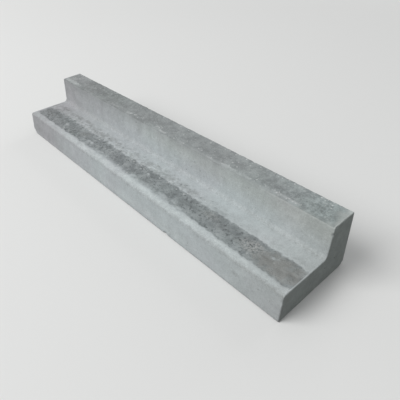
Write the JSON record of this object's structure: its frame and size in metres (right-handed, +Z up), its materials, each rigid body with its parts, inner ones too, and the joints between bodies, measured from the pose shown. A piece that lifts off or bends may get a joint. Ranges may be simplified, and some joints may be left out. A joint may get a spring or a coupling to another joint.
{
  "type": "concrete kerb stone",
  "caption": "Straight precast concrete kerb stone of L section: a wide gutter shelf with a low battered upstand along its back.",
  "frame": {"origin": "middle of the bed, the flat face that the stone is laid on", "axes": "+X along the stone's length, +Y across it from the shelf's front to the upstand's back, +Z up"},
  "size_m": [1, 0.2, 0.135],
  "materials": {
    "concrete": "matte precast concrete, smooth on the moulded faces, with a rough darker band along the shelf and a darker top"
  },
  "bodies": {
    "root": {"kerb_stone": "concrete"}
  },
  "joints": []
}
